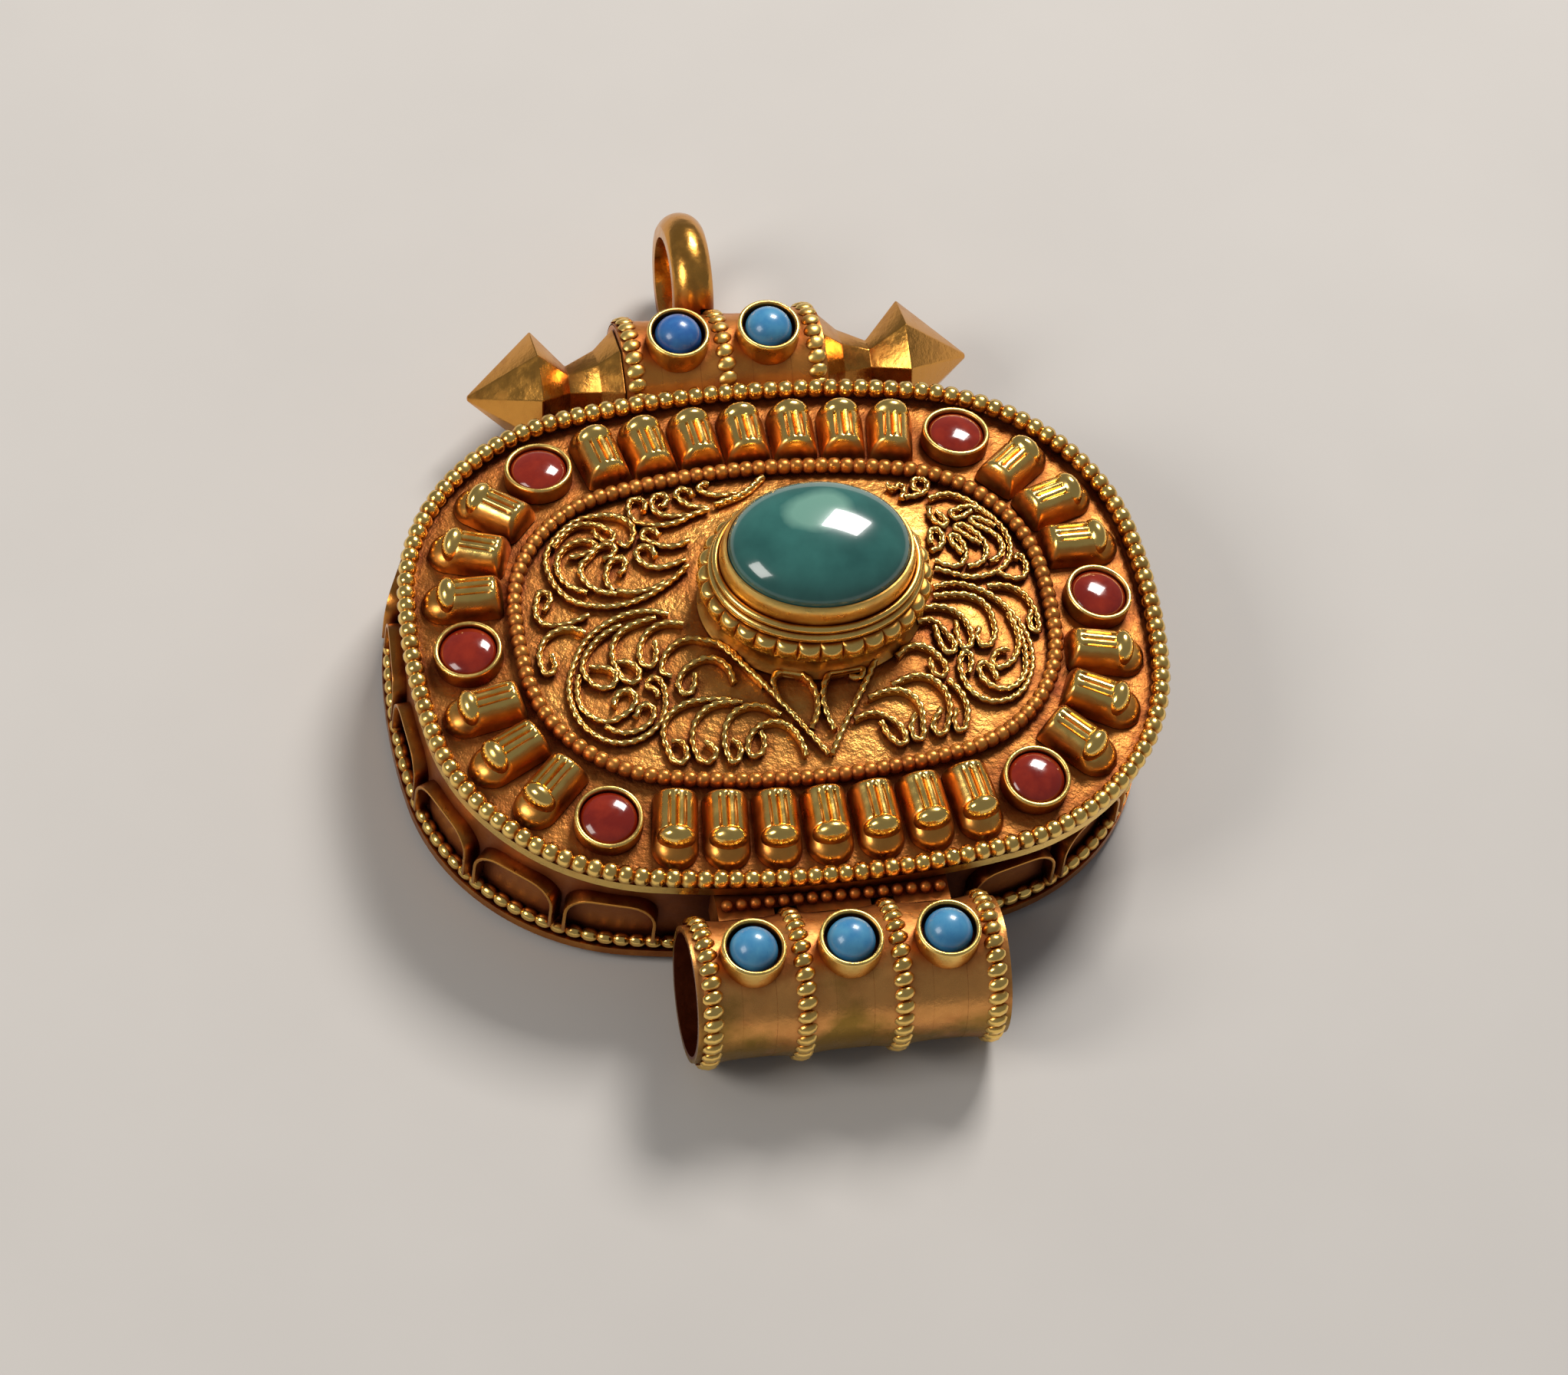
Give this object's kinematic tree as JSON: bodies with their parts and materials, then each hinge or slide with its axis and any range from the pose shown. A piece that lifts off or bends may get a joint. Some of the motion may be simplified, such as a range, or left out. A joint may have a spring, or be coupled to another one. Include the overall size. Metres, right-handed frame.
{
  "type": "amulet pendant box",
  "caption": "Oval gilt amulet pendant box with a filigree lift-off lid, coloured stones, a cord tube, a bail and a cross bar with faceted finials.",
  "frame": {"origin": "on the back plate's rest face, under the middle of the lid's face", "axes": "+Z out of the lid's face, +Y towards the bail, X along the long axis of the oval and along both tubes"},
  "size_m": [0.0361, 0.0475, 0.0137],
  "materials": {
    "gilt": "satin gilding, dark in the recesses",
    "blue_stone": "polished opaque blue stone",
    "coral": "polished red-orange stone",
    "green_stone": "polished blue-green stone"
  },
  "bodies": {
    "box": {"back_plate": "gilt", "box_wall": "gilt", "base_wire": "gilt", "arcade_cells": "gilt", "cord_tube": "gilt", "cord_tube_rings": "gilt", "cord_tube_saddle": "gilt", "cord_tube_bezels": "gilt", "cord_tube_stones": "blue_stone", "granule_row": "gilt", "hanger_tube": "gilt", "hanger_rings": "gilt", "hanger_end_plates": "gilt", "hanger_saddle": "gilt", "hanger_bezels": "gilt", "hanger_stones": "blue_stone", "bail": "gilt"},
    "lid": {"lid_shell": "gilt", "lid_flange": "gilt", "lid_edge_strip": "gilt", "outer_bead_wire": "gilt", "inner_bead_wire": "gilt", "border_petals": "gilt", "coral_bezels": "gilt", "coral_stones": "coral", "filigree_scrolls": "gilt", "setting_foot": "gilt", "setting_collar": "gilt", "setting_wires": "gilt", "setting_bezel": "gilt", "centre_stone": "green_stone"},
    "cross_bar": {"bar_shaft": "gilt", "left_finial": "gilt"},
    "screw_finial": {"right_finial": "gilt"}
  },
  "joints": [
    {"name": "lid_lift", "type": "slide", "parent": "box", "child": "lid", "axis": [0, 0, 1], "range_m": [0, 0.012]},
    {"name": "bar_pull", "type": "slide", "parent": "box", "child": "cross_bar", "axis": [-1, 0, 0], "range_m": [0, 0.014]},
    {"name": "finial_unscrew", "type": "slide", "parent": "box", "child": "screw_finial", "axis": [1, 0, 0], "range_m": [0, 0.006]}
  ]
}
